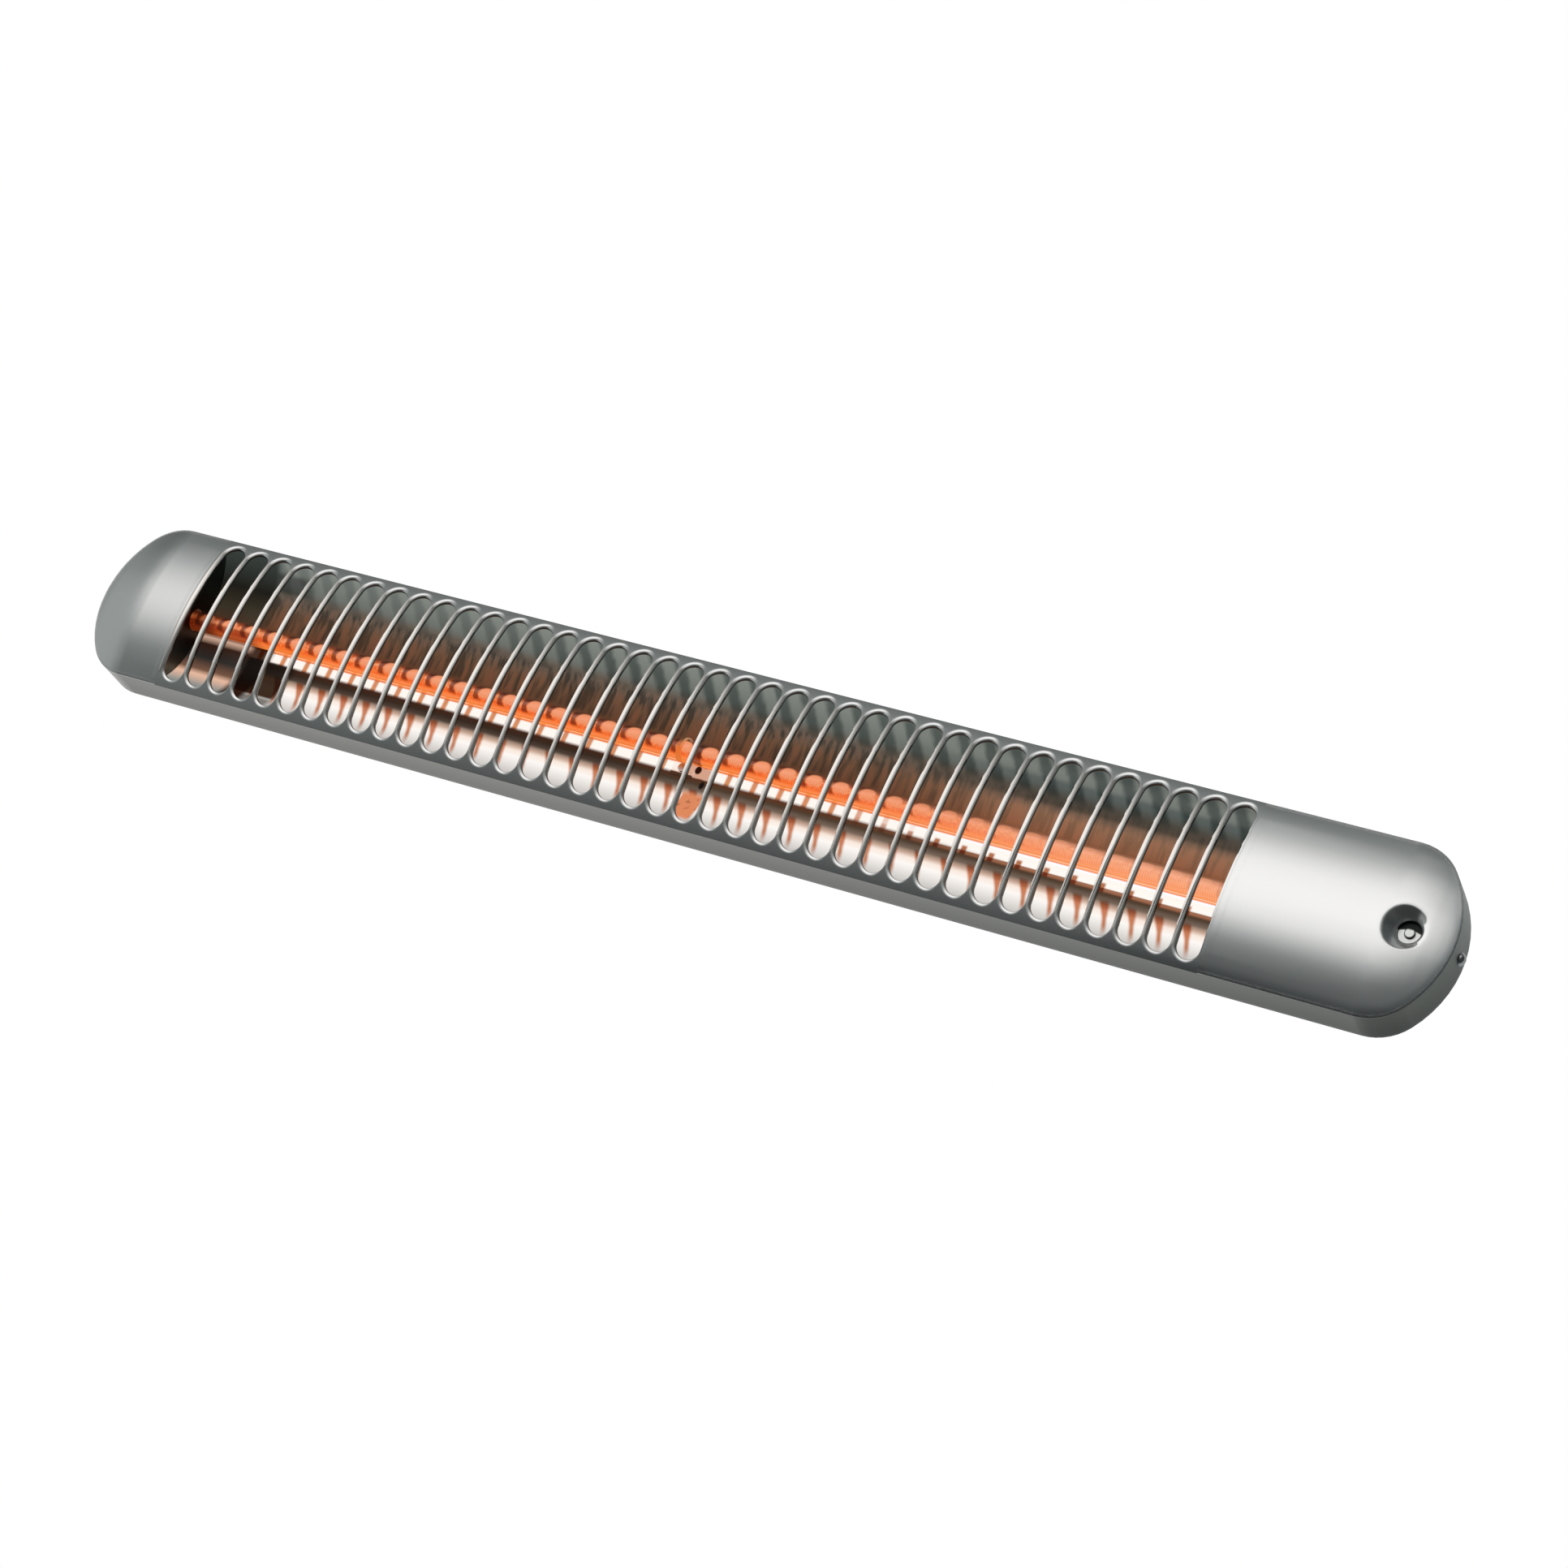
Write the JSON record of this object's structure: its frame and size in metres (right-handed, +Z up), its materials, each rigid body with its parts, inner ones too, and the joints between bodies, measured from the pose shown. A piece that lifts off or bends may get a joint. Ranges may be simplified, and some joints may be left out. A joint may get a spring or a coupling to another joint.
{
  "type": "electric bar heater",
  "caption": "Wall-mounted electric bar heater with a slotted aluminium cover over a quartz tube element.",
  "frame": {"origin": "on the wall plane, at the middle of the four wall holes, which is the middle of the heater's back", "axes": "+X along the heater towards its push button, +Y back into the wall, +Z up"},
  "size_m": [0.8252, 0.0318, 0.0966],
  "materials": {
    "anodised_aluminium": "satin silver anodising",
    "coated_steel": "light grey powder coat",
    "polished_aluminium": "bright rolled reflector sheet",
    "plain_steel": "galvanised sheet",
    "quartz": "clear fused quartz",
    "resistance_wire": "oxidised wire, glowing orange when on",
    "nickel": "dull nickel",
    "ceramic": "unglazed white steatite",
    "button_metal": "fine satin",
    "black_plastic": "moulded black",
    "brass": "plain",
    "brown_plastic": "moulded phenolic",
    "white_plastic": "moulded ivory white",
    "black_rubber": "moulded black",
    "lead_sleeve": "white glass-braid sleeving",
    "chromed_steel": "polished",
    "zinc_steel": "zinc plated"
  },
  "bodies": {
    "heater": {"front_cover": "anodised_aluminium", "back_tray": "coated_steel", "reflector": "polished_aluminium", "reflector_end_left": "plain_steel", "reflector_end_right": "plain_steel", "quartz_tube": "quartz", "heating_coil": "resistance_wire", "terminal_pin_left": "nickel", "terminal_pin_right": "nickel", "ceramic_cap_left": "ceramic", "ceramic_cap_right": "ceramic", "cap_holder_left": "plain_steel", "cap_holder_right": "plain_steel", "tube_clip": "plain_steel", "reflector_stands": "plain_steel", "switch_body": "black_plastic", "switch_bracket": "plain_steel", "spade_tabs": "brass", "thermal_cutout": "brown_plastic", "terminal_block": "white_plastic", "terminal_screws": "brass", "cord_clamp": "black_plastic", "cable_grommet": "black_rubber", "earth_stud": "brass", "lead_return": "lead_sleeve", "lead_element": "lead_sleeve", "lead_switched": "lead_sleeve", "lead_live": "lead_sleeve", "cover_screw_left": "chromed_steel", "cover_screw_right": "chromed_steel", "bracket_screws": "zinc_steel"},
    "button": {"push_button": "button_metal"}
  },
  "joints": [
    {"name": "button_press", "type": "slide", "parent": "heater", "child": "button", "axis": [0, 1, 0], "range_m": [0, 0.002], "stiffness_N_per_m": 300, "springref_m": -0.003}
  ]
}
